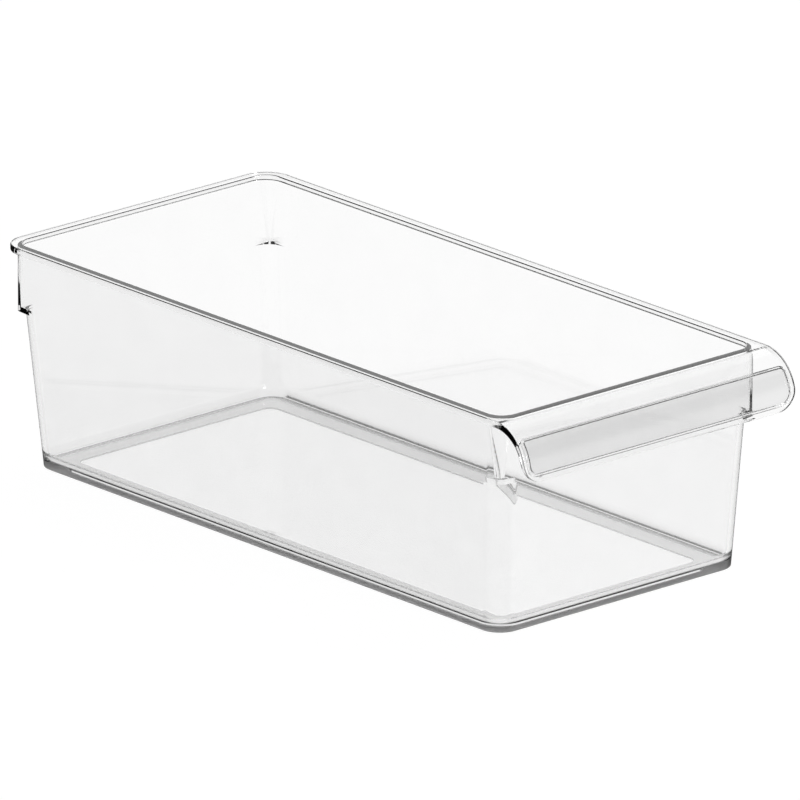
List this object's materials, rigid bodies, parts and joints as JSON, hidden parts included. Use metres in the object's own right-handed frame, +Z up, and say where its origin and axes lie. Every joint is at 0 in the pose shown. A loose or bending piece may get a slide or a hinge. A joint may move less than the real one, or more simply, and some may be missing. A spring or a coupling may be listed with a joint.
{
  "type": "fridge bin",
  "caption": "Long open-topped clear plastic storage bin with drafted walls, a flanged rim, stepped stacking corners and a bent pull handle whose window holds a light grey panel.",
  "frame": {"origin": "under the middle of the bin, on the plane it stands on", "axes": "+Z up, +X along the bin's length towards the pull handle, +Y across its width"},
  "size_m": [0.352, 0.16, 0.103],
  "materials": {
    "clear_plastic": "clear, glossy, injection-moulded",
    "grey_plastic": "light grey, translucent, satin"
  },
  "bodies": {
    "root": {"bin_body": "clear_plastic", "handle_panel": "grey_plastic"}
  },
  "joints": []
}
